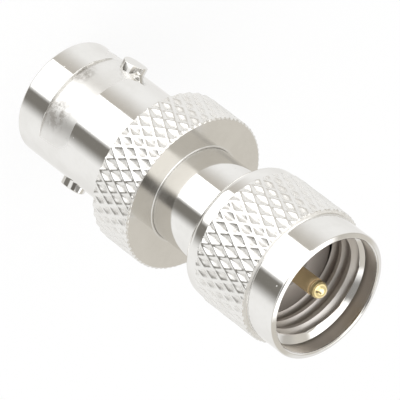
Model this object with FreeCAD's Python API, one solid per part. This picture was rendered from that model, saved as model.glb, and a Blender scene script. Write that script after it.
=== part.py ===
import FreeCAD, Part
import math
import os

os.makedirs("parts", exist_ok=True)

# All lengths are in millimetres. The axis is Z, the jack's mouth is at z = 0
# and the nut's mouth is at the top. The bayonet lugs stand along X.

# Outside of the bayonet jack
barrel_dia = 9.66
barrel_length = 10.9
rim_round = 0.15
lug_dia = 2.0
lug_span = 11.0
lug_height = 4.45

# Milled relief between the lugs, cut off centre so that it dies out before each lug
front_ring_length = 2.6
relief_length = 3.1
relief_depth = 0.25
relief_rear_depth = 0.04
relief_turn = 60.0
relief_fade_turn = 65.0

# Run-out of the milling cutter past the lug on +X, a flat that rises to the barrel
runout_height = 1.0
runout_turn = -8.0
runout_slant = 36.5
runout_depth = 0.27
runout_length = 1.7

# Inside of the bayonet jack
jack_bore_dia = 8.1
jack_bore_depth = 8.4
jack_mouth_chamfer = 0.15
land_dia = 7.0
land_length = 2.6

# Knurled collar
collar_dia = 13.1
collar_length = 4.08
collar_edge_chamfer = 0.1

# Diamond knurl: width and height of one diamond, and depth
knurl_width = 1.01
collar_knurl_rise = 1.7
nut_knurl_rise = 1.9
knurl_depth = 0.32

# Plug body: its neck shows between the collar and the nut, its front stands back in the nut
neck_dia = 8.0
neck_gap = 5.37
neck_setback = 4.28
neck_edge_chamfer = 0.12
line_ohms = 50.0
filled_line_ohms = 41.4

# Coupling nut
nut_length = 9.93
nut_back_dia = 11.06
nut_shoulder_dia = 11.36
nut_shoulder_length = 1.45
nut_shoulder_round = 0.45
nut_knurl_length = 5.65
nut_knurl_dia = 11.5
nut_band_dia = 10.8
nut_lip_round = 0.14
nut_running_clearance = 0.05
nut_rear_wall = 1.63
nut_inner_wall = 0.58
nut_counterbore_dia = 9.8
nut_counterbore_depth = 1.35
nut_lip_chamfer = 0.2
thread_minor_dia = 8.5
thread_length = 3.75
thread_relief_dia = 9.8

# Retaining ring, and its room in the two grooves
ring_section_height = 0.6
ring_inside_dia = 7.1
ring_outside_dia = 9.0
ring_gap_turn = 24.0
ring_clearance = 0.02
ring_radial_clearance = 0.12
nut_play = 0.3

# Centre contacts
pin_dia = 1.42
pin_setback = 0.38
conductor_dia = 1.08
socket_dia = 2.14
socket_bore_dia = 1.36
socket_bore_depth = 5.0
socket_slot_width = 0.2
socket_slot_length = 4.0
socket_recess = 0.15
socket_collar_dia = 3.0
socket_collar_length = 1.6
socket_mouth_chamfer = 0.12
tail_dia = 0.9
tail_hole_depth = 2.5
tail_end_gap = 0.2

# Insulators
nose_dia = 4.82
nose_face_depth = 3.4
nose_root_length = 0.2
nose_edge_chamfer = 0.15
flange_length = 1.2
insulator_clearance = 0.03

# How far a cutting shape runs past the face it opens
overshoot = 1.0

# Levels and diameters that follow from the sizes above
collar_top = barrel_length + collar_length
land_end = jack_bore_depth + land_length
flange_end = land_end + flange_length
nut_foot = collar_top + neck_gap
nut_top = nut_foot + nut_length
neck_top = nut_top - neck_setback
pin_tip = nut_top - pin_setback
line_bore_dia = conductor_dia * math.exp(line_ohms / filled_line_ohms)
knurl_foot = nut_foot + nut_shoulder_length
knurl_top = knurl_foot + nut_knurl_length
ring_foot = nut_foot + nut_rear_wall + ring_clearance
ring_top = ring_foot + ring_section_height
thread_relief_foot = ring_top + ring_clearance + nut_inner_wall
counterbore_floor = nut_top - nut_counterbore_depth
thread_foot = counterbore_floor - thread_length
socket_face = nose_face_depth + socket_recess
socket_collar_foot = land_end - socket_collar_length / 2
socket_end = socket_collar_foot + socket_collar_length
tail_hole_end = socket_end - tail_hole_depth


def vec(x, y, z):
    return FreeCAD.Vector(x, y, z)


def turned(steps, turn=360.0):
    """Revolve a closed half section about Z; a step is (r, z), or ((r, z) on the way, (r, z) end)."""
    edges = []
    start = steps[0]
    here = start
    for step in steps[1:] + [start]:
        if isinstance(step[0], tuple):
            way, end = step
            arc = Part.Arc(vec(here[0], 0, here[1]), vec(way[0], 0, way[1]), vec(end[0], 0, end[1]))
            edges.append(arc.toShape())
            here = end
        elif step != here:
            edges.append(Part.makeLine(vec(here[0], 0, here[1]), vec(step[0], 0, step[1])))
            here = step
    face = Part.Face(Part.Wire(edges))
    return face.revolve(vec(0, 0, 0), vec(0, 0, 1), turn)


def rounded(centre, radius, start_turn, end_turn):
    """The step that goes round an arc, with turns in degrees from +r towards +z."""
    points = []
    for turn in ((start_turn + end_turn) / 2, end_turn):
        angle = math.radians(turn)
        points.append((centre[0] + radius * math.cos(angle), centre[1] + radius * math.sin(angle)))
    return tuple(points)


def rod(dia, foot, top):
    return Part.makeCylinder(dia / 2, top - foot, vec(0, 0, foot))


def knurled_disc(tip_dia, foot, top, rise):
    """A solid disc whose rim is rows of four-sided pyramids, set like bricks."""
    count = round(math.pi * tip_dia / knurl_width)
    rows = max(2, round(2 * (top - foot) / rise))
    columns = 2 * count
    radii = (tip_dia / 2, tip_dia / 2 - knurl_depth)
    grid = []
    for row in range(rows + 1):
        height = foot + (top - foot) * row / rows
        ring = []
        for column in range(columns):
            angle = 2 * math.pi * column / columns
            radius = radii[(row + column) % 2]
            ring.append(vec(radius * math.cos(angle), radius * math.sin(angle), height))
        grid.append(ring)
    faces = [polygon(list(reversed(grid[0]))), polygon(grid[-1])]
    for row in range(rows):
        for column in range(columns):
            after = (column + 1) % columns
            low, low_next = grid[row][column], grid[row][after]
            high, high_next = grid[row + 1][column], grid[row + 1][after]
            if (row + column) % 2:
                faces += [polygon([low, low_next, high_next]), polygon([low, high_next, high])]
            else:
                faces += [polygon([low, low_next, high]), polygon([low_next, high_next, high])]
    return Part.Solid(Part.Shell(faces))


def polygon(points):
    return Part.Face(Part.makePolygon(points + [points[0]]))


def save(name, shape):
    if not shape.isValid() or not shape.Solids:
        raise ValueError(name + " is not a sound solid")
    shape.exportStep("parts/" + name + ".step")
    print(name, "solids", len(shape.Solids), "volume", round(shape.Volume, 2), "faces", len(shape.Faces))


def bayonet_lug(side):
    """One round lug on the side given by +1 or -1, its top following the span circle."""
    root = jack_bore_dia / 2
    lug = Part.makeCylinder(lug_dia / 2, lug_span / 2, vec(side * root, 0, lug_height), vec(side, 0, 0))
    return lug.common(rod(lug_span, 0, 2 * lug_height))


def relief_cutter(side):
    """What the off-centre cut takes away on one side: a wide ring round a shifted cone."""
    fade = math.cos(math.radians(relief_fade_turn))
    shift = relief_depth / (1 - fade)
    core = barrel_dia / 2 - relief_depth + shift
    turn = math.radians(relief_turn if side > 0 else relief_turn + 180)
    centre = vec(-shift * math.cos(turn), -shift * math.sin(turn), front_ring_length)
    rear_core = core + relief_depth - relief_rear_depth
    cone = Part.makeCone(core, rear_core, relief_length, centre)
    return rod(collar_dia, front_ring_length, front_ring_length + relief_length).cut(cone)


def runout_cutter():
    """A slab whose lower face is the run-out's flat and whose side is its slanted wall."""
    turn = math.radians(runout_turn)
    slant = math.radians(runout_slant)
    rise = math.atan2(runout_depth, runout_length)
    outward = vec(math.cos(turn), math.sin(turn), 0)
    across = vec(-math.sin(turn), math.cos(turn), 0)
    wall = across * math.cos(slant) + vec(0, 0, math.sin(slant))
    ahead = across * -math.sin(slant) + vec(0, 0, math.cos(slant))
    floor = ahead * math.cos(rise) + outward * math.sin(rise)
    start = outward * (barrel_dia / 2 - runout_depth) + vec(0, 0, runout_height)
    slab = Part.makeBox(barrel_dia, barrel_dia, barrel_dia, vec(-barrel_dia / 2, 0, 0))
    up = wall.cross(floor)
    slab.Placement = FreeCAD.Placement(FreeCAD.Matrix(
        wall.x, floor.x, up.x, start.x,
        wall.y, floor.y, up.y, start.y,
        wall.z, floor.z, up.z, start.z,
        0, 0, 0, 1)) * slab.Placement
    return slab


def make_jack_shell():
    barrel = barrel_dia / 2
    bore = jack_bore_dia / 2
    shell = turned([
        (0, 0),
        (barrel - rim_round, 0),
        rounded((barrel - rim_round, rim_round), rim_round, -90, 0),
        (barrel, barrel_length + collar_length / 2),
        (0, barrel_length + collar_length / 2),
    ])
    shell = shell.cut(runout_cutter())
    for side in (1, -1):
        shell = shell.cut(relief_cutter(side))
    for side in (1, -1):
        shell = shell.fuse(bayonet_lug(side))
    shell = shell.fuse(knurled_disc(collar_dia, barrel_length, collar_top, collar_knurl_rise))
    neck = neck_dia / 2
    inside = turned([
        (0, -overshoot),
        (bore + jack_mouth_chamfer, -overshoot),
        (bore + jack_mouth_chamfer, 0),
        (bore, jack_mouth_chamfer * 2),
        (bore, jack_bore_depth),
        (land_dia / 2, jack_bore_depth),
        (land_dia / 2, land_end),
        (neck, land_end),
        (neck, collar_top - collar_edge_chamfer),
        (neck + collar_edge_chamfer, collar_top),
        (neck + collar_edge_chamfer, collar_top + overshoot),
        (0, collar_top + overshoot),
    ])
    return shell.cut(inside)


def make_plug_body():
    neck = neck_dia / 2
    line = line_bore_dia / 2
    groove = ring_inside_dia / 2 - ring_radial_clearance
    groove_foot = ring_foot - ring_clearance
    groove_top = ring_top + nut_play + ring_clearance
    return turned([
        (line, flange_end),
        (neck - neck_edge_chamfer, flange_end),
        (neck, flange_end + neck_edge_chamfer),
        (neck, groove_foot),
        (groove, groove_foot),
        (groove, groove_top),
        (neck, groove_top),
        (neck, neck_top - neck_edge_chamfer),
        (neck - neck_edge_chamfer, neck_top),
        (line, neck_top),
    ])


def make_coupling_nut():
    back = nut_back_dia / 2
    band = nut_band_dia / 2
    hole = neck_dia / 2 + nut_running_clearance
    outside = turned([
        (0, nut_foot),
        (back - nut_shoulder_round, nut_foot),
        rounded((back - nut_shoulder_round, nut_foot + nut_shoulder_round), nut_shoulder_round, -90, 0),
        (nut_shoulder_dia / 2, knurl_foot),
        (band - knurl_depth, knurl_foot),
        (band - knurl_depth, knurl_top),
        (band, knurl_top),
        (band, nut_top - nut_lip_round),
        rounded((band - nut_lip_round, nut_top - nut_lip_round), nut_lip_round, 0, 90),
        (0, nut_top),
    ])
    nut = outside.fuse(knurled_disc(nut_knurl_dia, knurl_foot, knurl_top, nut_knurl_rise))
    groove = ring_outside_dia / 2 + ring_radial_clearance
    counterbore = nut_counterbore_dia / 2
    inside = turned([
        (0, nut_foot - overshoot),
        (hole, nut_foot - overshoot),
        (hole, ring_foot - ring_clearance),
        (groove, ring_foot - ring_clearance),
        (groove, ring_top + ring_clearance),
        (hole, ring_top + ring_clearance),
        (hole, thread_relief_foot),
        (thread_relief_dia / 2, thread_relief_foot),
        (thread_relief_dia / 2, thread_foot),
        (thread_minor_dia / 2, thread_foot),
        (thread_minor_dia / 2, counterbore_floor),
        (counterbore, counterbore_floor),
        (counterbore, nut_top - nut_lip_chamfer),
        (counterbore + nut_lip_chamfer, nut_top),
        (counterbore + nut_lip_chamfer, nut_top + overshoot),
        (0, nut_top + overshoot),
    ])
    return nut.cut(inside)


def make_retaining_ring():
    ring = turned([
        (ring_inside_dia / 2, ring_foot),
        (ring_outside_dia / 2, ring_foot),
        (ring_outside_dia / 2, ring_top),
        (ring_inside_dia / 2, ring_top),
    ], 360.0 - ring_gap_turn)
    ring.rotate(vec(0, 0, 0), vec(0, 0, 1), ring_gap_turn / 2)
    return ring


def make_pin_contact():
    pin = pin_dia / 2
    conductor = conductor_dia / 2
    tail = tail_dia / 2
    return turned([
        (0, tail_hole_end + tail_end_gap),
        (tail, tail_hole_end + tail_end_gap),
        (tail, socket_end),
        (conductor, socket_end),
        (conductor, neck_top),
        (pin, neck_top),
        (pin, pin_tip - pin),
        rounded((0, pin_tip - pin), pin, 0, 90),
    ])


def make_socket_contact():
    outer = socket_dia / 2
    bore = socket_bore_dia / 2
    body = turned([
        (bore + socket_mouth_chamfer, socket_face),
        (outer - socket_mouth_chamfer, socket_face),
        (outer, socket_face + socket_mouth_chamfer),
        (outer, socket_collar_foot),
        (socket_collar_dia / 2, socket_collar_foot),
        (socket_collar_dia / 2, socket_end),
        (tail_dia / 2, socket_end),
        (tail_dia / 2, tail_hole_end),
        (0, tail_hole_end),
        (0, socket_face + socket_bore_depth),
        (bore, socket_face + socket_bore_depth),
        (bore, socket_face + socket_mouth_chamfer),
    ])
    for turn in (45, 135):
        slot = Part.makeBox(2 * outer + 2 * overshoot, socket_slot_width, socket_slot_length + overshoot,
                            vec(-outer - overshoot, -socket_slot_width / 2, socket_face - overshoot))
        slot.rotate(vec(0, 0, 0), vec(0, 0, 1), turn)
        body = body.cut(slot)
    return body


def make_jack_insulator():
    nose = nose_dia / 2
    hole = socket_dia / 2 + insulator_clearance
    land = land_dia / 2 - insulator_clearance
    flange = neck_dia / 2 - insulator_clearance
    collar = socket_collar_dia / 2 + insulator_clearance
    return turned([
        (hole, nose_face_depth),
        (nose - nose_edge_chamfer, nose_face_depth),
        (nose, nose_face_depth + nose_edge_chamfer),
        (nose, jack_bore_depth + nose_root_length),
        (land, jack_bore_depth + nose_root_length),
        (land, land_end),
        (flange, land_end),
        (flange, flange_end),
        (collar, flange_end),
        (collar, socket_collar_foot),
        (hole, socket_collar_foot),
    ])


def make_plug_insulator():
    return turned([
        (conductor_dia / 2, flange_end),
        (line_bore_dia / 2, flange_end),
        (line_bore_dia / 2, neck_top),
        (conductor_dia / 2, neck_top),
    ])


save("jack_shell", make_jack_shell())
save("plug_body", make_plug_body())
save("coupling_nut", make_coupling_nut())
save("retaining_ring", make_retaining_ring())
save("pin_contact", make_pin_contact())
save("socket_contact", make_socket_contact())
save("jack_insulator", make_jack_insulator())
save("plug_insulator", make_plug_insulator())
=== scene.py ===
import math

import bmesh
import bpy
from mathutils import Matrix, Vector


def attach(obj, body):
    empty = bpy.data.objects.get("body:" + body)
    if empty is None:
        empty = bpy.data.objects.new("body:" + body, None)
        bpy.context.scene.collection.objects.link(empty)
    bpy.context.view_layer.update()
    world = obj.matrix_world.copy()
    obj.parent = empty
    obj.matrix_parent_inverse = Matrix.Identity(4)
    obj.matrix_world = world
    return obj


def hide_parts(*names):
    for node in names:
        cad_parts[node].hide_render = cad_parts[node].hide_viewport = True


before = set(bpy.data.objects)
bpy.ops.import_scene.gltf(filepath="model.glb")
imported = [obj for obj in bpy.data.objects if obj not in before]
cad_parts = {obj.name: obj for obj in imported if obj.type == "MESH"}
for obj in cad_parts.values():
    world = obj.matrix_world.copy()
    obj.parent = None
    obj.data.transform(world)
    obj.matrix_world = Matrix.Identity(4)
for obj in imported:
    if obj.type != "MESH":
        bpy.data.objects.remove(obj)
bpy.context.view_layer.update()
mm = 0.001
mergeDistance = 5e-7  # metres
print("frame loaded:", sorted(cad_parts))


class Plug:
    # one socket of a node tree; a sum or product of plugs adds its Math node
    def __init__(self, tree, socket=None):
        self.tree = tree
        self.socket = socket

    def node(self, kind, settings=None, values=None, out=0):
        made = self.tree.nodes.new(kind)
        for key, value in (settings or {}).items():
            setattr(made, key, value)
        for key, value in (values or {}).items():
            if isinstance(value, Plug):
                self.tree.links.new(value.socket, made.inputs[key])
            else:
                made.inputs[key].default_value = value
        return Plug(self.tree, made.outputs[out] if len(made.outputs) else None)

    def other(self, key):
        # another output of the same node
        return Plug(self.tree, self.socket.node.outputs[key])

    def math(self, operation, *others):
        terms = dict(enumerate((self,) + others))
        return self.node("ShaderNodeMath", {"operation": operation}, terms)

    def flipped(self, operation, first):
        return self.node("ShaderNodeMath", {"operation": operation}, {0: first, 1: self})

    def __add__(self, value):
        return self.math("ADD", value)

    def __radd__(self, value):
        return self.flipped("ADD", value)

    def __sub__(self, value):
        return self.math("SUBTRACT", value)

    def __rsub__(self, value):
        return self.flipped("SUBTRACT", value)

    def __mul__(self, value):
        return self.math("MULTIPLY", value)

    def __rmul__(self, value):
        return self.flipped("MULTIPLY", value)

    def __truediv__(self, value):
        return self.math("DIVIDE", value)

    def __rtruediv__(self, value):
        return self.flipped("DIVIDE", value)

    def fade(self, start, end, low=0.0, high=1.0, soft=True):
        # goes from low to high as this value goes from start to end, and stays there
        return self.node("ShaderNodeMapRange",
                         {"interpolation_type": "SMOOTHSTEP" if soft else "LINEAR"},
                         {"Value": self, "From Min": start, "From Max": end, "To Min": low, "To Max": high})

    def between(self, start, end, startSoft, endSoft):
        # 1 from start to end and 0 outside, with soft edges this wide
        up = self.fade(start - startSoft / 2, start + startSoft / 2)
        down = self.fade(end - endSoft / 2, end + endSoft / 2, 1.0, 0.0)
        return up * down

    def held(self, most):
        # this value, but never under 0 or over most
        return self.math("MINIMUM", most).math("MAXIMUM", 0.0)

    def isZero(self):
        # 1 where this whole number is 0, and 0 from 1 up
        return self.fade(0.4, 0.6, 1, 0, soft=False)

    def mixedColour(self, first, second):
        # this value moves the colour from first to second
        return self.node("ShaderNodeMix", {"data_type": "RGBA"}, {0: self, 6: first, 7: second}, 2)

    def parts(self):
        made = self.node("ShaderNodeSeparateXYZ", None, {0: self})
        return [made.other(key) for key in "XYZ"]


view = {
    "turn": 72.9254, "rise": 35.6452, "roll": 127.4536,  # degrees
    "distance": 0.490812, "aim": (-0.0000611, 0.0000188, 0.0157685),  # metres
    "fieldOfView": 3.495492,  # degrees
    "sensorWidth": 36, "clip": (0.01, 10),  # mm and metres
}


def makeCamera():
    turn, rise, roll = (math.radians(view[key]) for key in ("turn", "rise", "roll"))
    back = Vector((math.cos(rise) * math.cos(turn), math.cos(rise) * math.sin(turn), math.sin(rise)))
    camera = bpy.data.objects.new("camera", bpy.data.cameras.new("camera"))
    bpy.context.scene.collection.objects.link(camera)
    camera.rotation_mode = "QUATERNION"
    level = back.to_track_quat("Z", "Y")
    spin = Vector((math.cos(roll), math.sin(roll), 0))
    camera.rotation_quaternion = level @ Vector((1, 0, 0)).rotation_difference(spin)
    camera.location = Vector(view["aim"]) + back * view["distance"]
    camera.data.sensor_width = view["sensorWidth"]
    camera.data.lens = view["sensorWidth"] / 2 / math.tan(math.radians(view["fieldOfView"]) / 2)
    camera.data.clip_start, camera.data.clip_end = view["clip"]
    bpy.context.scene.camera = camera


makeCamera()
bpy.context.scene.view_settings.view_transform = "Standard"
print("camera made")


studio = {
    # the colours that the metal reflects
    "wall": (1.06, 1.055, 1.04, 1), "farWall": (0.93, 0.92, 0.9, 1), "softbox": (1.85, 1.85, 1.84, 1),
    "greyCard": (0.62, 0.585, 0.53, 1), "charcoal": (0.24, 0.228, 0.205, 1),
    "table": (0.8, 0.78, 0.74, 1), "under": (0.5, 0.48, 0.45, 1),
    "ceiling": (0.73, 0.695, 0.63, 1), "ceilingBox": (1.3, 1.26, 1.18, 1),
    "ceilingCard": (0.17, 0.16, 0.145, 1), "sideCard": (0.6, 0.575, 0.53, 1),
    "topBox": (1.9, 1.9, 1.88, 1), "topCard": (0.36, 0.35, 0.335, 1),
    # boxes and cards: start, end and the width of both soft edges, in degrees round from the camera or up
    "cardLift": (-62, -9, 6, 8), "charcoalTurn": (27, 59, 9, 28), "softboxTurn": (-40, 24, 1.5, 5),
    "ceilingBoxTurn": (-44, 22, 10, 10), "ceilingCardTurn": (29, 57, 12, 12),
    "sideCardTurn": (-148, -128, 10, 10),
    # where one thing gives way to the next, in degrees
    "greyStart": (-88, -39), "greyEnd": (-40.7, -39.3), "farTurn": (95, 160),
    "tableLift": (-66, -58), "underLift": (-80, -70), "ceilingLift": (18, 27), "topLift": (50, 58),
    # the card overhead, aside of and ahead of the part on a sky of radius 1
    "topCardAside": (0.12, 0.5, 0.14, 0.22), "topCardAhead": (-0.38, -0.24),
    "skyLevel": 0.9, "lampPower": 0.55, "lampSize": 0.35, "lampPlace": (-0.12, 0.22, 0.42),
    "floorColour": (0.95, 0.95, 0.945, 1), "floorWhite": 0.85, "floorHalf": 1.5,
}


def seenByMetal(path):
    # 1 for rays that a shiny or clear surface sends out
    return path.other("Is Glossy Ray").math("MAXIMUM", path.other("Is Transmission Ray"))


def makeSky():
    world = bpy.data.worlds.new("studio")
    bpy.context.scene.world = world
    world.use_nodes = True
    world.node_tree.nodes.clear()
    world.cycles.sampling_method = "NONE"
    plug = Plug(world.node_tree)
    x, y, z = plug.node("ShaderNodeTexCoord", out="Generated").parts()
    turn = math.radians(view["turn"])
    ahead = x * math.cos(turn) + y * math.sin(turn)
    aside = y * math.cos(turn) - x * math.sin(turn)
    bearing = aside.math("ARCTAN2", ahead) * (180 / math.pi)
    lift = z.math("ARCSINE") * (180 / math.pi)
    # round the part: pale walls, a white softbox, a grey card and a charcoal card, and the table below
    cards = lift.between(*studio["cardLift"])
    grey = bearing.fade(*studio["greyStart"]) * bearing.fade(*studio["greyEnd"], 1, 0) * cards
    far = bearing.math("ABSOLUTE").fade(*studio["farTurn"])
    low = grey.mixedColour(far.mixedColour(studio["wall"], studio["farWall"]), studio["greyCard"])
    low = (bearing.between(*studio["charcoalTurn"]) * cards).mixedColour(low, studio["charcoal"])
    low = bearing.between(*studio["softboxTurn"]).mixedColour(low, studio["softbox"])
    low = lift.fade(*studio["tableLift"], 1, 0).mixedColour(low, studio["table"])
    low = lift.fade(*studio["underLift"], 1, 0).mixedColour(low, studio["under"])
    # above: a warm grey ceiling with a weaker box and its own cards, and overhead a white box with a grey card
    high = bearing.between(*studio["ceilingBoxTurn"]).mixedColour(studio["ceiling"], studio["ceilingBox"])
    high = bearing.between(*studio["ceilingCardTurn"]).mixedColour(high, studio["ceilingCard"])
    high = bearing.between(*studio["sideCardTurn"]).mixedColour(high, studio["sideCard"])
    over = aside.between(*studio["topCardAside"]) * ahead.fade(*studio["topCardAhead"])
    over = over.mixedColour(studio["topBox"], studio["topCard"])
    high = lift.fade(*studio["topLift"]).mixedColour(high, over)
    level = lift.fade(*studio["ceilingLift"]).mixedColour(low, high)
    # anything that isn't shiny gets one plain level, and the camera sees white
    path = plug.node("ShaderNodeLightPath")
    plain = path.other("Is Camera Ray").fade(0, 1, studio["skyLevel"], 1, soft=False)
    both = plain.node("ShaderNodeCombineXYZ", None, {0: plain, 1: plain, 2: plain})
    colour = seenByMetal(path).mixedColour(both, level)
    light = plug.node("ShaderNodeBackground", None, {"Color": colour, "Strength": 1.0})
    plug.node("ShaderNodeOutputWorld", None, {"Surface": light})


def makeLamp():
    lamp = bpy.data.objects.new("softLamp", bpy.data.lights.new("softLamp", "AREA"))
    bpy.context.scene.collection.objects.link(lamp)
    lamp.data.shape = "DISK"
    lamp.data.size = studio["lampSize"]
    lamp.data.energy = studio["lampPower"]
    lamp.location = studio["lampPlace"]
    lamp.rotation_mode = "QUATERNION"
    lamp.rotation_quaternion = Vector(lamp.location).to_track_quat("Z", "Y")
    lamp.visible_glossy = False


def makeFloor():
    # a white sheet that keeps the shadow and that the metal doesn't reflect
    floor = bpy.data.materials.new("paleFloor")
    floor.use_nodes = True
    floor.node_tree.nodes.clear()
    plug = Plug(floor.node_tree)
    path = plug.node("ShaderNodeLightPath")
    matt = plug.node("ShaderNodeBsdfDiffuse", None, {"Color": studio["floorColour"]})
    white = plug.node("ShaderNodeEmission", None, {"Color": (1, 1, 1, 1), "Strength": 1.0})
    clear = plug.node("ShaderNodeBsdfTransparent")
    seen = plug.node("ShaderNodeMixShader", None,
                     {0: path.other("Is Camera Ray") * studio["floorWhite"], 1: matt, 2: white})
    both = plug.node("ShaderNodeMixShader", None, {0: seenByMetal(path), 1: seen, 2: clear})
    plug.node("ShaderNodeOutputMaterial", None, {"Surface": both})
    sheet = bmesh.new()
    bmesh.ops.create_grid(sheet, x_segments=1, y_segments=1, size=studio["floorHalf"])
    mesh = bpy.data.meshes.new("floor")
    sheet.to_mesh(mesh)
    sheet.free()
    mesh.materials.append(floor)
    ground = bpy.data.objects.new("floor", mesh)
    bpy.context.scene.collection.objects.link(ground)


makeSky()
makeLamp()
makeFloor()
print("studio made")


def finish(name):
    # an empty material, and the place on the surface in mm
    made = bpy.data.materials.new(name)
    made.use_nodes = True
    made.node_tree.nodes.clear()
    place = Plug(made.node_tree).node("ShaderNodeTexCoord", out="Object")
    return made, place.node("ShaderNodeVectorMath", {"operation": "SCALE"}, {0: place, "Scale": 1 / mm})


def covered(made, place, height, values):
    # gives the material these values, and a bump whose height is in mm
    dent = place.node("ShaderNodeBump", None, {"Strength": 1.0, "Distance": mm, "Height": height})
    shader = place.node("ShaderNodeBsdfPrincipled", None, {**values, "Normal": dent})
    place.node("ShaderNodeOutputMaterial", None, {"Surface": shader})
    return made


def grain(place, scale, detail=2.0, rough=0.5):
    return place.node("ShaderNodeTexNoise", None,
                      {"Vector": place, "Scale": scale, "Detail": detail, "Roughness": rough})


def distanceTo(place, centre):
    return place.node("ShaderNodeVectorMath", {"operation": "DISTANCE"}, {0: place, 1: centre}, 1)


def turnedPlace(place, around):
    # coordinates that change along the axis and outwards, and only slowly around
    x, y, z = place.parts()
    radius = (x * x + y * y).math("SQRT")
    return place.node("ShaderNodeCombineXYZ", None, {0: radius, 1: (x + y) * around, 2: z}), radius, z


# a grain is the scale, detail and roughness of its noise; depths, radii and heights are in mm
nickel = {
    "bright": (0.8, 0.794, 0.78, 1), "dull": (0.765, 0.757, 0.74, 1), "dullShare": (0.35, 0.7),
    "rough": 0.055, "smudge": 0.05, "smudgeShare": (0.42, 0.7), "cloudGrain": (0.55, 3.0, 0.6),
    # lines from the lathe, waves in the plating and a few pits
    "around": 0.25, "lineGrain": (13.0, 3.0, 0.7), "marks": 0.00035, "lineRough": 0.03,
    "waveGrain": (2.6, 3.0, 0.55), "ripple": 0.0016,
    "pitSpots": 1.1, "pitSize": (0.03, 0.085), "pitGrain": (1.7, 1.0), "pitShare": (0.5, 0.6), "pits": 0.009,
    # knurl, from the cells to the ridges
    "cell": (0.8, 0.79, 0.77, 1), "cellRough": 0.52, "knurlRough": 0.12,
    # milled relief behind the front ring
    "reliefRadii": (4.8, 4.828), "reliefInner": (4.3, 4.35), "reliefHeights": (2.59, 5.69, 0.01, 0.02),
    "reliefRough": 0.28, "toothGrain": (5.0, 2.0), "tooth": 0.0015,
    # two rubbed places on it, which are also painted dark as shade: centre, where it starts and ends to fade,
    # strength
    "rubAndShadeSpots": (((-0.05, 4.63, 3.6), 0.4, 1.7, 1), ((3.28, 3.25, 2.9), 0.3, 1.3, 0.9)),
    "rubAndShadeGrain": (2.0, 4.0, 0.7), "rubAndShadeShare": (0.38, 0.6), "rubAndShade": 0.004, "rubRough": 0.12,
    # painted shade: the dark colour of the rubbed places, and how far it is mixed in
    "rubShade": (0.36, 0.34, 0.315, 1), "rubShadeStrength": 0.85,
    # thread, painted darker as shade, darkest deep in the nut, and rougher
    "threadRadii": (4.915, 4.925), "threadHeights": (23.1, 28.5, 0.01, 0.02), "threadShadeFade": (25.5, 28.6),
    "thread": (0.61, 0.585, 0.56, 1), "threadDeepShade": (0.52, 0.485, 0.455, 1), "threadRough": 0.3,
    # mouth in front of the thread, painted darker as shade towards the corner at the counterbore's floor, and
    # rougher
    "mouthInner": (4.87, 4.89), "mouthHeights": (28.88, 30.1, 0.02, 0.1), "mouthShadeFade": (28.88, 29.4),
    "mouth": (0.78, 0.74, 0.69, 1), "mouthCornerShade": (0.45, 0.425, 0.395, 1), "mouthRough": 0.26,
    # front face of the neck, which is the floor inside the nut, painted darker as shade
    "floorHeights": (25.98, 25.99), "floorRadii": (3.86, 3.9),
    "floor": (0.5, 0.465, 0.44, 1), "floorRough": 0.4,
    # corner between the neck and the collar
    "cornerHeights": (15.0, 17.2), "cornerRough": 0.16,
}
collarRidges = {"heights": (10.9, 14.95, 0.1, 0.1), "inner": (4.9, 4.92), "radii": (6.38, 6.53)}
nutRidges = {"heights": (21.9, 27.42, 0.1, 0.1), "inner": (5.3, 5.32), "radii": (5.57, 5.73)}


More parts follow.
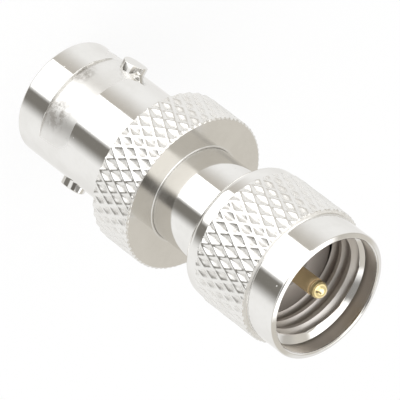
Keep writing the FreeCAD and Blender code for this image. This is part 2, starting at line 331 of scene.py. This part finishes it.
def plated(name, ridges=None, relief=False, threaded=False, onNeck=False):
    made, place = finish(name)
    spun, radius, z = turnedPlace(place, nickel["around"])
    lines = grain(spun, *nickel["lineGrain"])
    waves = grain(place, *nickel["waveGrain"])
    cloud = grain(place, *nickel["cloudGrain"])
    spots = place.node("ShaderNodeTexVoronoi", None, {"Vector": place, "Scale": nickel["pitSpots"]})
    pits = spots.fade(*nickel["pitSize"], 1, 0) * grain(place, *nickel["pitGrain"]).fade(*nickel["pitShare"])
    height = lines * nickel["marks"] + waves * nickel["ripple"] + pits * nickel["pits"]
    roughness = nickel["rough"] + cloud.fade(*nickel["smudgeShare"], 0, nickel["smudge"])
    roughness = roughness + (lines - 0.5) * nickel["lineRough"]
    colour = cloud.fade(*nickel["dullShare"]).mixedColour(nickel["bright"], nickel["dull"])
    if ridges:
        cut = z.between(*ridges["heights"]) * radius.fade(*ridges["inner"])
        rough = radius.fade(*ridges["radii"], nickel["cellRough"], nickel["knurlRough"])
        roughness = roughness + cut * rough
        colour = (cut * radius.fade(*ridges["radii"], 1, 0)).mixedColour(colour, nickel["cell"])
        height = height * (1 - cut)
    if relief:
        milled = radius.fade(*nickel["reliefRadii"], 1, 0, soft=False) * z.between(*nickel["reliefHeights"])
        milled = milled * radius.fade(*nickel["reliefInner"])
        height = height + milled * grain(place, *nickel["toothGrain"]) * nickel["tooth"]
        roughness = roughness + milled * nickel["reliefRough"]
        first, second = (distanceTo(place, centre).fade(near, far, strength, 0)
                         for centre, near, far, strength in nickel["rubAndShadeSpots"])
        rubAndShade = (first + second) * grain(place, *nickel["rubAndShadeGrain"]).fade(*nickel["rubAndShadeShare"]) * milled
        height = height + rubAndShade * nickel["rubAndShade"]
        roughness = roughness + rubAndShade * nickel["rubRough"]
        # painted shade: the rubbed places get a dark colour besides their bumps and roughness
        colour = (rubAndShade * nickel["rubShadeStrength"]).mixedColour(colour, nickel["rubShade"])
    if threaded:
        # painted shade: the colour is darker down in the mouth and the thread, darkest deep in the thread and
        # in the mouth's corner; the plating there is also rougher and has no bumps
        inside = radius.fade(*nickel["threadRadii"], 1, 0, soft=False)
        hidden = inside * z.between(*nickel["threadHeights"])
        mouth = radius.fade(*nickel["mouthInner"], soft=False) * inside * z.between(*nickel["mouthHeights"])
        deep = z.fade(*nickel["threadShadeFade"]).mixedColour(nickel["threadDeepShade"], nickel["thread"])
        edge = z.fade(*nickel["mouthShadeFade"]).mixedColour(nickel["mouthCornerShade"], nickel["mouth"])
        colour = mouth.mixedColour(hidden.mixedColour(colour, deep), edge)
        roughness = roughness + hidden * nickel["threadRough"] + mouth * nickel["mouthRough"]
        height = height * (1 - hidden) * (1 - mouth)
    if onNeck:
        # painted shade: the neck's front face, down inside the nut, gets the darker floor colour
        sunk = z.fade(*nickel["floorHeights"], soft=False)
        sunk = sunk * radius.fade(*nickel["floorRadii"], 1, 0, soft=False)
        colour = sunk.mixedColour(colour, nickel["floor"])
        roughness = roughness + sunk * nickel["floorRough"]
        # the polish doesn't reach into the corner by the collar
        roughness = roughness + z.fade(*nickel["cornerHeights"], 1, 0) * nickel["cornerRough"]
    return covered(made, place, height, {"Base Color": colour, "Metallic": 1.0, "Roughness": roughness})


gold = {
    "bright": (0.96, 0.77, 0.36, 1), "deep": (0.9, 0.69, 0.29, 1),
    "metal": 1.0, "rough": 0.16, "coat": 0.0, "lines": 11.0,
}
nose = {
    # painted light and shade: bright is the lighter gold of the ball, deep the darker gold of the shaft down
    # in the nut
    "bright": (1.0, 0.84, 0.41, 1), "deep": (0.66, 0.5, 0.28, 1),
    "metal": 0.36, "tip": 1.0, "rough": 0.06, "coat": 1.0, "lines": 11.0, "ball": (28.97, 28.98),
}
bronze = {
    "bright": (0.72, 0.5, 0.3, 1), "deep": (0.6, 0.4, 0.22, 1),
    "metal": 1.0, "rough": 0.3, "coat": 0.0, "lines": 8.0,
}
# what the gold and bronze finishes share
drawn = {
    "around": 0.2, "lineGrain": (3.0, 0.65), "marks": 0.0006, "lineRough": 0.06,
    "waveGrain": 4.0, "ripple": 0.0008, "cloudGrain": (1.6, 3.0, 0.6), "deepShare": (0.35, 0.7),
    "coatRough": 0.03, "coatIndex": 1.9,
}


def brightMetal(name, tones):
    made, place = finish(name)
    spun, _, z = turnedPlace(place, drawn["around"])
    lines = grain(spun, tones["lines"], *drawn["lineGrain"])
    height = lines * drawn["marks"] + grain(place, drawn["waveGrain"]) * drawn["ripple"]
    if "ball" in tones:
        # painted light and shade: the ball gets a lighter gold and the shaft behind it, down in the nut, a
        # darker gold; the ball is also more metallic and has a coat
        colour = z.fade(*tones["ball"], 1, 0).mixedColour(tones["bright"], tones["deep"])
        metal = z.fade(*tones["ball"], tones["metal"], tones["tip"])
        coat = z.fade(*tones["ball"], 0, tones["coat"])
    else:
        cloud = grain(place, *drawn["cloudGrain"])
        colour = cloud.fade(*drawn["deepShare"]).mixedColour(tones["bright"], tones["deep"])
        metal, coat = tones["metal"], tones["coat"]
    roughness = tones["rough"] + (lines - 0.5) * drawn["lineRough"]
    return covered(made, place, height, {
        "Base Color": colour, "Metallic": metal, "Roughness": roughness,
        "Coat Weight": coat, "Coat Roughness": drawn["coatRough"], "Coat IOR": drawn["coatIndex"]})


plastic = {
    "white": ((0.9, 0.9, 0.88, 1), (0.85, 0.845, 0.815, 1)),
    # painted shade: a dark grey for the plug insulator, white like the other, because it sits in shade inside
    # the nut
    "grey": ((0.3, 0.275, 0.25, 1), (0.25, 0.23, 0.21, 1)),
    "around": 0.1, "lineGrain": (9.0, 3.0, 0.7), "marks": 0.004, "rough": 0.42, "lineRough": 0.15,
    "cloudGrain": (1.2, 3.0, 0.6), "deepShare": (0.3, 0.75),
}


def insulator(name, tone):
    made, place = finish(name)
    spun = turnedPlace(place, plastic["around"])[0]
    lines = grain(spun, *plastic["lineGrain"])
    cloud = grain(place, *plastic["cloudGrain"])
    colour = cloud.fade(*plastic["deepShare"]).mixedColour(*plastic[tone])
    roughness = plastic["rough"] + lines * plastic["lineRough"]
    return covered(made, place, lines * plastic["marks"], {"Base Color": colour, "Roughness": roughness})


shellNickel = plated("shellNickel", ridges=collarRidges, relief=True)
neckNickel = plated("neckNickel", onNeck=True)
nutNickel = plated("nutNickel", ridges=nutRidges, threaded=True)
pinGold = brightMetal("pinGold", nose)
socketGold = brightMetal("socketGold", gold)
ringBronze = brightMetal("ringBronze", bronze)
insulatorWhite = insulator("insulatorWhite", "white")
insulatorShadeGrey = insulator("insulatorShadeGrey", "grey")
print("finishes made")


rounding = {
    "steps": 6,
    "guard": 0.03,  # mm; a row this far from an edge keeps the shading of the edge off the flat
    "axis": 1e-6,  # mm; a row nearer to the axis than this is one point
    "sharp": 40,  # degrees; an edge that turns further isn't shaded smooth
}


def outline(corners, closed=False):
    # rounds the corners of a line of (radius, height, round) points, in mm,
    # with a guard row on each side of a rounding
    rows = []
    steps, guard = rounding["steps"], rounding["guard"]
    count = len(corners)
    for i, corner in enumerate(corners):
        r, z = corner[:2]
        size = corner[2] if len(corner) > 2 else 0
        if not size or (not closed and i in (0, count - 1)):
            rows.append((r, z))
            continue
        here = Vector((r, z))
        before = Vector(corners[i - 1][:2]) - here
        after = Vector(corners[(i + 1) % count][:2]) - here
        inward, onward = before.normalized(), after.normalized()
        half = inward.angle(onward) / 2
        reach = size / math.tan(half)
        centre = here + (inward + onward).normalized() * (size / math.sin(half))
        start, end = here + inward * reach - centre, here + onward * reach - centre
        sweep = math.pi - 2 * half
        if before.length > reach + 2 * guard:
            rows.append(tuple(here + inward * (reach + guard)))
        for k in range(steps + 1):
            share = k / steps
            point = (start * math.sin((1 - share) * sweep) + end * math.sin(share * sweep)) / math.sin(sweep)
            rows.append(tuple(centre + point))
        if after.length > reach + 2 * guard:
            rows.append(tuple(here + onward * (reach + guard)))
    return rows


def spin(shape, rows, columns, closed=False, dip=None):
    # sweeps a line of (radius, height) rows round the axis; a third number is a depth, and
    # dip gives the share of it that is taken off the radius at an angle
    rings = []
    for row in rows:
        r, z = row[0], row[1]
        if r < rounding["axis"]:
            rings.append([shape.verts.new((0, 0, z * mm))] * columns)
            continue
        ring = []
        for j in range(columns):
            angle = 2 * math.pi * j / columns
            radius = r - (row[2] * dip(angle) if len(row) > 2 else 0)
            x, y = radius * mm * math.cos(angle), radius * mm * math.sin(angle)
            ring.append(shape.verts.new((x, y, z * mm)))
        rings.append(ring)
    pairs = list(zip(rings, rings[1:]))
    if closed:
        pairs.append((rings[-1], rings[0]))
    for low, high in pairs:
        for j in range(columns):
            k = (j + 1) % columns
            loop = []
            for vert in (low[j], low[k], high[k], high[j]):
                if vert not in loop:
                    loop.append(vert)
            if len(loop) > 2:
                shape.faces.new(loop)


def finished(name, shape, material, body, slotName, *nodes):
    bmesh.ops.remove_doubles(shape, verts=shape.verts, dist=mergeDistance)
    mesh = bpy.data.meshes.new(name)
    shape.to_mesh(mesh)
    openEdges = sum(1 for edge in shape.edges if len(edge.link_faces) != 2)
    shape.free()
    mesh.polygons.foreach_set("use_smooth", [True] * len(mesh.polygons))
    mesh.set_sharp_from_angle(angle=math.radians(rounding["sharp"]))
    mesh.materials.clear()
    mesh.materials.append(material)
    made = bpy.data.objects.new(name, mesh)
    bpy.context.scene.collection.objects.link(made)
    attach(made, body)
    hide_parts(*nodes)
    triangles = sum(len(face.vertices) - 2 for face in mesh.polygons)
    print(name, "triangles", triangles, "open edges", openEdges)


def newTree(name, labels):
    tree = bpy.data.node_groups.new(name, "GeometryNodeTree")
    tree.interface.new_socket("Geometry", in_out="OUTPUT", socket_type="NodeSocketGeometry")
    kinds = {int: "NodeSocketInt", float: "NodeSocketFloat", None: "NodeSocketMaterial"}
    for label, kind in labels.items():
        tree.interface.new_socket(label, in_out="INPUT", socket_type=kinds[kind])
    given = Plug(tree).node("NodeGroupInput")
    return tree, {label: given.other(label) for label in labels}


def wrapped(sizes, columns, rows):
    # a flat sheet, with its place around as 0 to 1 and its row number
    sheet = sizes.node("GeometryNodeMeshGrid", None,
                       {"Size X": 1.0, "Size Y": 1.0, "Vertices X": columns + 1, "Vertices Y": rows})
    x, y = sizes.node("GeometryNodeInputPosition").parts()[:2]
    return sheet, x + 0.5, (y + 0.5) * (rows - 1)


def closedSleeve(sheet, around, radius, height, material, inside=False):
    # bends the sheet round the axis and joins its ends
    angle = around * (2 * math.pi)
    x, y = radius * angle.math("COSINE") * mm, radius * angle.math("SINE") * mm
    place = sheet.node("ShaderNodeCombineXYZ", None, {0: x, 1: y, 2: height * mm})
    bent = sheet.node("GeometryNodeSetPosition", None, {"Geometry": sheet, "Position": place})
    whole = sheet.node("GeometryNodeMergeByDistance", None, {"Geometry": bent, "Distance": mergeDistance})
    if inside:
        whole = sheet.node("GeometryNodeFlipFaces", None, {"Mesh": whole})
    split = sheet.node("GeometryNodeTriangulate", None, {"Mesh": whole})
    real = sheet.node("GeometryNodeRealizeInstances", None, {"Geometry": split})
    coated = sheet.node("GeometryNodeSetMaterial", None, {"Geometry": real, "Material": material})
    sheet.node("NodeGroupOutput", None, {"Geometry": coated})


def makeKnurlTree():
    labels = {
        "Columns": int, "Rows": int, "Starts": int, "Foot": float, "Top": float, "Foot Gap": float,
        "Foot Fade": float, "Tip Radius": float, "Foot Rim": float, "Top Rim": float, "Steps": int,
        "Rise": float, "Top Slope": float, "Cut": float, "Second Drop": float, "Ridge Round": float,
        "Metal": None,
    }
    tree, size = newTree("diamondKnurl", labels)
    sheet, around, row = wrapped(size["Columns"], size["Columns"], size["Rows"])
    last = size["Rows"] - 1
    # every other row is shifted by half a column, so that the mesh edges run along both sets of ridges
    around = around + row.math("PINGPONG", 1.0) * 0.5 / size["Columns"]
    step = (row - 1).held(last - 2)
    lead = step * 0.5 / size["Steps"]

    def fall(phase):
        # 0 on a ridge, which is a little rounded, and 1 in the middle between two
        half, bend = 0.5, size["Ridge Round"]
        far = phase.math("PINGPONG", half)
        deepest = (bend * bend + half * half).math("SQRT") - bend
        return ((far * far + bend * bend).math("SQRT") - bend) / deepest

    turn = around * size["Starts"]
    steep = fall(turn - lead)
    level = size["Second Drop"] + (1 - size["Second Drop"]) * fall(turn + lead)
    depth = size["Cut"] * steep * level / (steep * steep + level * level).math("SQRT")
    height = size["Foot Gap"] + lead * size["Rise"]
    radius = size["Tip Radius"] - depth
    radius = size["Foot Rim"] + height.fade(0, size["Foot Fade"]) * (radius - size["Foot Rim"])
    height = size["Foot"] + height
    # a cone takes the ridges down to the front edge
    radius = radius.math("MINIMUM", size["Top Rim"] + (size["Top"] - height) * size["Top Slope"])
    # the first and the last row lie on the rims
    atFoot, atTop = row.isZero(), (last - row).isZero()
    radius = radius + atFoot * (size["Foot Rim"] - radius) + atTop * (size["Top Rim"] - radius)
    height = height + atFoot * (size["Foot"] - height) + atTop * (size["Top"] - height)
    closedSleeve(sheet, around, radius, height, size["Metal"])
    return tree


def makeThreadTree():
    labels = {
        "Columns": int, "Rows": int, "Foot": float, "Top": float, "Minor Radius": float,
        "Root Radius": float, "Rim": float, "Pitch": float, "Steps": int, "Crest Flat": float,
        "Root Flat": float, "Start Turn": float, "Mouth Slope": float, "Metal": None,
    }
    tree, size = newTree("insideThread", labels)
    sheet, around, row = wrapped(size["Columns"], size["Columns"], size["Rows"])
    last = size["Rows"] - 1
    # the rows climb with the thread and are held at both ends
    climb = around - 1 + (row - 1) / size["Steps"]
    length = size["Top"] - size["Foot"]
    up = (climb * size["Pitch"]).held(length)
    far = (up / size["Pitch"] - around).math("PINGPONG", 0.5) * 2
    rise = ((far - size["Root Flat"]) / (1 - size["Root Flat"] - size["Crest Flat"])).held(1.0)
    radius = size["Root Radius"] + rise * (size["Minor Radius"] - size["Root Radius"])
    # a cone leads in from the counterbore
    radius = radius.math("MAXIMUM", size["Rim"] - (length - up) * size["Mouth Slope"])
    # the first and the last row lie on the counterbore
    atTop = (last - row).isZero()
    up = up + atTop * (length - up)
    radius = radius + (row.isZero() + atTop) * (size["Rim"] - radius)
    closedSleeve(sheet, around + size["Start Turn"], radius, size["Foot"] + up, size["Metal"], inside=True)
    return tree


def grown(name, tree, sizes):
    # the plain mesh that a tree makes with these sizes
    holder = bpy.data.objects.new(name, bpy.data.meshes.new(name))
    bpy.context.scene.collection.objects.link(holder)
    maker = holder.modifiers.new(name, "NODES")
    maker.node_group = tree
    for item in tree.interface.items_tree:
        if item.in_out == "INPUT":
            maker[item.identifier] = sizes[item.name]
    graph = bpy.context.evaluated_depsgraph_get()
    mesh = bpy.data.meshes.new_from_object(holder.evaluated_get(graph))
    holder.modifiers.remove(maker)
    bpy.data.objects.remove(holder)
    return mesh


knurlTree = makeKnurlTree()
threadTree = makeThreadTree()
print("node trees made")


def grownKnurl(name, piece, foot, top, tip, footRim, topRim, material):
    # a knurled sleeve between two rims, with the ridges that the piece's dictionary gives
    return grown(name, knurlTree, {
        "Columns": piece["columns"], "Rows": piece["knurlRows"], "Starts": piece["starts"],
        "Steps": piece["knurlSteps"], "Rise": piece["rise"], "Top Slope": piece["topSlope"],
        "Cut": piece["cut"], "Second Drop": piece["secondDrop"], "Ridge Round": piece["ridgeRound"],
        "Foot Gap": piece["knurlGap"], "Foot Fade": piece["knurlFade"], "Foot": foot, "Top": top,
        "Tip Radius": tip, "Foot Rim": footRim, "Top Rim": topRim, "Metal": material})


shell = {
    # radii and heights in mm, turns in degrees
    "barrel": 4.83, "rimRound": 0.15, "bore": 4.05, "boreDepth": 8.4, "land": 3.5, "landEnd": 11.0,
    "landRound": 0.05, "mouthDepth": 0.3, "mouthRound": 0.1, "mouthFlare": 0.15, "flareRound": 0.05,
    "seat": 4.0, "seatDrop": 0.1, "collarFoot": 10.9, "collarTop": 14.98, "collarEdge": 0.02,
    "collarTip": 6.55, "collarRim": 6.38,
    # thin raised ring round the neck, on the collar's face
    "beadFoot": 0.17, "beadEdge": 0.15, "beadInner": 0.01, "beadHeight": 0.06, "beadRound": 0.05,
    "starts": 40, "columns": 480, "knurlRows": 57, "knurlSteps": 12, "rise": 1.73, "topSlope": 2.2,
    "cut": 0.25, "secondDrop": 0.05, "ridgeRound": 0.13, "knurlGap": 0.09, "knurlFade": 0.1,
    "reliefFoot": 2.6, "reliefTop": 5.7, "reliefDepth": 0.25, "reliefRearDepth": 0.06,
    "reliefTurn": 60.0, "reliefFade": 65.0, "reliefSteps": 12,
    "reliefLead": 0.1, "reliefWall": 0.02, "reliefLip": 0.1, "reliefEnd": 0.03,
    "lugRadius": 1.0, "lugReach": 5.5, "lugHeight": 4.45, "lugEdge": 0.07, "lugRoot": 4.3,
    "lugColumns": 64, "lugEdgeSteps": 5, "lugHeadRings": (0.96, 0.7, 0.35),
    "runoutHeight": 1.0, "runoutTurn": -8.0, "runoutSlant": 36.5, "runoutDepth": 0.27, "runoutLength": 1.7,
    "runoutSlab": 9,  # wider than the cut
}


def reliefDip(angle):
    # share of the relief's depth at this angle: 1 in the middle of either side and 0 between them
    fade = math.cos(math.radians(shell["reliefFade"]))
    share = 0.0
    for turn in (shell["reliefTurn"], shell["reliefTurn"] + 180):
        share = max(share, (math.cos(angle - math.radians(turn)) - fade) / (1 - fade))
    return share


def makeRunout():
    # a slab whose side is the slanted wall and whose underside is the flat of the cutter's run-out
    turn, slant = math.radians(shell["runoutTurn"]), math.radians(shell["runoutSlant"])
    rise = math.atan2(shell["runoutDepth"], shell["runoutLength"])
    outward = Vector((math.cos(turn), math.sin(turn), 0))
    across = Vector((-math.sin(turn), math.cos(turn), 0))
    up = Vector((0, 0, 1))
    wall = across * math.cos(slant) + up * math.sin(slant)
    ahead = up * math.cos(slant) - across * math.sin(slant)
    flat = ahead * math.cos(rise) + outward * math.sin(rise)
    start = outward * (shell["barrel"] - shell["runoutDepth"]) + up * shell["runoutHeight"]
    slab = bmesh.new()
    bmesh.ops.create_cube(slab, size=1)
    for vert in slab.verts:
        a, b, c = (share * shell["runoutSlab"] for share in (vert.co.x, vert.co.y + 0.5, vert.co.z + 0.5))
        vert.co = (start + wall * a + flat * b + wall.cross(flat) * c) * mm
    return slab


def makeLug(side):
    # a round peg along X, closed at both ends, its head following the span circle
    shape = bmesh.new()
    columns, peg, reach, edge = shell["lugColumns"], shell["lugRadius"], shell["lugReach"], shell["lugEdge"]
    rows = [(peg, None)]  # each is a radius and a place against the head; None is the root
    for k in range(shell["lugEdgeSteps"] + 1):
        turn = math.radians(90 * k / shell["lugEdgeSteps"])
        rows.append((peg - edge * (1 - math.cos(turn)), -edge * (1 - math.sin(turn))))
    rows += [(peg * share - edge * share, 0.0) for share in shell["lugHeadRings"]]
    rings = []
    for radius, back in rows:
        ring = []
        for j in range(columns):
            angle = 2 * math.pi * j / columns
            y, z = radius * math.cos(angle), radius * math.sin(angle)
            x = shell["lugRoot"] if back is None else math.sqrt(reach * reach - y * y) + back
            ring.append(shape.verts.new((side * x * mm, side * y * mm, (shell["lugHeight"] + z) * mm)))
        rings.append(ring)
    for low, high in zip(rings, rings[1:]):
        for j in range(columns):
            k = (j + 1) % columns
            shape.faces.new((low[j], low[k], high[k], high[j]))
    shape.faces.new(list(reversed(rings[0])))
    shape.faces.new(rings[-1])
    return shape


def carved(shape, tools):
    # cuts closed shapes from a closed shape, or joins them to it
    def solid(source):
        bmesh.ops.remove_doubles(source, verts=source.verts, dist=mergeDistance)
        bmesh.ops.recalc_face_normals(source, faces=source.faces)
        mesh = bpy.data.meshes.new("part")
        source.to_mesh(mesh)
        source.free()
        made = bpy.data.objects.new("part", mesh)
        bpy.context.scene.collection.objects.link(made)
        return made

    base = solid(shape)
    used = [base]
    for tool, operation in tools:
        cutter = base.modifiers.new("cut", "BOOLEAN")
        cutter.operation, cutter.solver, cutter.object = operation, "EXACT", solid(tool)
        used.append(cutter.object)
    graph = bpy.context.evaluated_depsgraph_get()
    result = bmesh.new()
    result.from_mesh(bpy.data.meshes.new_from_object(base.evaluated_get(graph)))
    for thing in used:
        bpy.data.objects.remove(thing)
    return result


def makeShell():
    barrel, bore, land, seat = shell["barrel"], shell["bore"], shell["land"], shell["seat"]
    foot, top, rim = shell["collarFoot"], shell["collarTop"], shell["collarRim"]
    start, end = shell["reliefFoot"], shell["reliefTop"]
    rows = outline([
        (rim, top),
        (rim - rounding["guard"], top),
        (seat + shell["beadFoot"], top),
        (seat + shell["beadEdge"], top + shell["beadHeight"], shell["beadRound"]),
        (seat + shell["beadInner"], top + shell["beadHeight"], shell["beadRound"]),
        (seat, top - shell["seatDrop"]),
        (seat, shell["landEnd"]),
        (land, shell["landEnd"]),
        (land, shell["boreDepth"], shell["landRound"]),
        (bore, shell["boreDepth"]),
        (bore, shell["mouthDepth"], shell["mouthRound"]),
        (bore + shell["mouthFlare"], 0, shell["flareRound"]),
        (barrel, 0, shell["rimRound"]),
        (barrel, start - shell["reliefLead"]),
    ])
    first, last = shell["reliefDepth"], shell["reliefRearDepth"]
    wall, steps = shell["reliefWall"], shell["reliefSteps"]
    rows += [
        (barrel, start - wall),
        (barrel, start, shell["reliefLip"] * first),
        (barrel, start + wall, first),
    ]
    rows += [(barrel, start + (end - start) * k / steps, first + (last - first) * k / steps)
             for k in range(1, steps)]
    rows += [
        (barrel, end - shell["reliefEnd"], last),
        (barrel, end),
        (barrel, foot - shell["collarEdge"]),
        (barrel + shell["collarEdge"], foot),
        (rim - rounding["guard"], foot),
        (rim, foot),
    ]
    shape = bmesh.new()
    spin(shape, rows, shell["columns"], dip=reliefDip)
    shape.from_mesh(grownKnurl("collarKnurl", shell, foot, top, shell["collarTip"], rim, rim, shellNickel))
    shape = carved(shape, [(makeRunout(), "DIFFERENCE"), (makeLug(1), "UNION"), (makeLug(-1), "UNION")])
    finished("jackShell", shape, shellNickel, "adapter_body", "nickel", "jack_shell")


makeShell()


neck = {
    # radii and heights in mm; the line is the bore round the pin's conductor
    "line": 1.81, "radius": 4.0, "foot": 12.2, "top": 26.0, "edge": 0.12, "lineRound": 0.04,
    "grooveFoot": 21.98, "grooveTop": 22.94, "groove": 3.43, "columns": 256,
}


def makeNeck():
    line, radius, edge = neck["line"], neck["radius"], neck["edge"]
    rows = outline([
        (line, neck["foot"]),
        (radius - edge, neck["foot"]),
        (radius, neck["foot"] + edge),
        (radius, neck["grooveFoot"]),
        (neck["groove"], neck["grooveFoot"]),
        (neck["groove"], neck["grooveTop"]),
        (radius, neck["grooveTop"]),
        (radius, neck["top"], edge),
        (line, neck["top"], neck["lineRound"]),
    ], closed=True)
    shape = bmesh.new()
    spin(shape, rows, neck["columns"], closed=True)
    finished("plugNeck", shape, neckNickel, "adapter_body", "nickel", "plug_body")


pin = {
    # radii and heights in mm; the line is the shoulder behind the ball
    "tail": 0.45, "tailFoot": 9.5, "tailRound": 0.05, "conductorFoot": 11.8, "conductor": 0.54,
    "shaftFoot": 26.0, "shaft": 0.71, "line": 28.84, "lineRound": 0.03, "neck": 0.66,
    "ball": 0.71, "ballSteps": 28, "tip": 29.89, "columns": 96,
}


def makePin():
    shaft, tip, line, ball = pin["shaft"], pin["tip"], pin["line"], pin["ball"]
    low = math.acos(pin["neck"] / ball)
    rows = outline([
        (0, pin["tailFoot"]),
        (pin["tail"], pin["tailFoot"], pin["tailRound"]),
        (pin["tail"], pin["conductorFoot"]),
        (pin["conductor"], pin["conductorFoot"]),
        (pin["conductor"], pin["shaftFoot"]),
        (shaft, pin["shaftFoot"]),
        (shaft, line, pin["lineRound"]),
        (pin["neck"], line),
        (pin["neck"], tip - ball - ball * math.sin(low)),
    ])
    steps = pin["ballSteps"]
    turns = [-low + (math.pi / 2 + low) * k / steps for k in range(1, steps)]
    rows += [(ball * math.cos(turn), tip - ball + ball * math.sin(turn)) for turn in turns] + [(0, tip)]
    shape = bmesh.new()
    spin(shape, rows, pin["columns"])
    finished("centrePin", shape, pinGold, "adapter_body", "gold", "pin_contact")


makeNeck()
makePin()


nut = {
    # radii and heights in mm
    "foot": 20.35, "top": 30.28, "back": 5.58,
    "shoulder": 5.68, "shoulderRound": 0.75, "shoulderTaper": 0.002,
    "knurlFoot": 21.8, "knurlTop": 27.45, "knurlTip": 5.75, "band": 5.4,
    "hole": 4.05, "holeRound": 0.06, "ringGroove": 4.62, "ringFoot": 21.98, "ringTop": 22.62,
    "wallTop": 23.2, "wallRound": 0.05,
    "counterbore": 4.9, "counterboreFloor": 28.87, "threadFoot": 25.18,
    "lipRound": 0.12, "lipSlope": 0.13, "lipChamfer": 0.1, "chamferRound": 0.06,
    "starts": 36, "columns": 432, "knurlRows": 71, "knurlSteps": 12, "rise": 1.93, "topSlope": 2.2,
    "cut": 0.26, "secondDrop": 0.05, "ridgeRound": 0.13, "knurlGap": 0.088, "knurlFade": 0.12,
    "pitch": 1.058, "minor": 4.25, "root": 4.76, "threadSteps": 16, "threadRows": 76,
    "crestFlat": 0.25, "rootFlat": 0.125, "threadTurn": 338 / 432, "mouthSlope": 1.6,
}


def makeNut():
    counterbore, hole, groove = nut["counterbore"], nut["hole"], nut["ringGroove"]
    front = outline([
        (nut["band"], nut["knurlTop"]),
        (nut["band"], nut["top"] - nut["lipSlope"], nut["lipRound"]),
        (counterbore + nut["lipChamfer"], nut["top"], nut["chamferRound"]),
        (counterbore, nut["top"] - nut["lipChamfer"], nut["chamferRound"]),
        (counterbore, nut["counterboreFloor"]),
    ])
    back = outline([
        (counterbore, nut["threadFoot"]),
        (counterbore, nut["wallTop"]),
        (hole, nut["wallTop"], nut["wallRound"]),
        (hole, nut["ringTop"]),
        (groove, nut["ringTop"]),
        (groove, nut["ringFoot"]),
        (hole, nut["ringFoot"]),
        (hole, nut["foot"], nut["holeRound"]),
        (nut["back"], nut["foot"], nut["shoulderRound"]),
        (nut["shoulder"] - nut["shoulderTaper"], nut["knurlFoot"] - rounding["guard"]),
        (nut["shoulder"], nut["knurlFoot"]),
    ])
    shape = bmesh.new()
    spin(shape, front, nut["columns"])
    spin(shape, back, nut["columns"])
    shape.from_mesh(grownKnurl("nutKnurl", nut, nut["knurlFoot"], nut["knurlTop"], nut["knurlTip"],
                               nut["shoulder"], nut["band"], nutNickel))
    shape.from_mesh(grown("nutThread", threadTree, {
        "Columns": nut["columns"], "Rows": nut["threadRows"], "Foot": nut["threadFoot"],
        "Top": nut["counterboreFloor"], "Minor Radius": nut["minor"], "Root Radius": nut["root"],
        "Rim": counterbore, "Pitch": nut["pitch"], "Steps": nut["threadSteps"],
        "Crest Flat": nut["crestFlat"], "Root Flat": nut["rootFlat"], "Start Turn": nut["threadTurn"],
        "Mouth Slope": nut["mouthSlope"], "Metal": nutNickel}))
    finished("couplingNut", shape, nutNickel, "nut", "nickel", "coupling_nut")


makeNut()


# the plug insulator gets the grey that is painted shade
for node, material in (("retaining_ring", ringBronze), ("socket_contact", socketGold),
                       ("jack_insulator", insulatorWhite), ("plug_insulator", insulatorShadeGrey)):
    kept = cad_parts[node]
    kept.data.materials.clear()
    kept.data.materials.append(material)
print("solids coated")
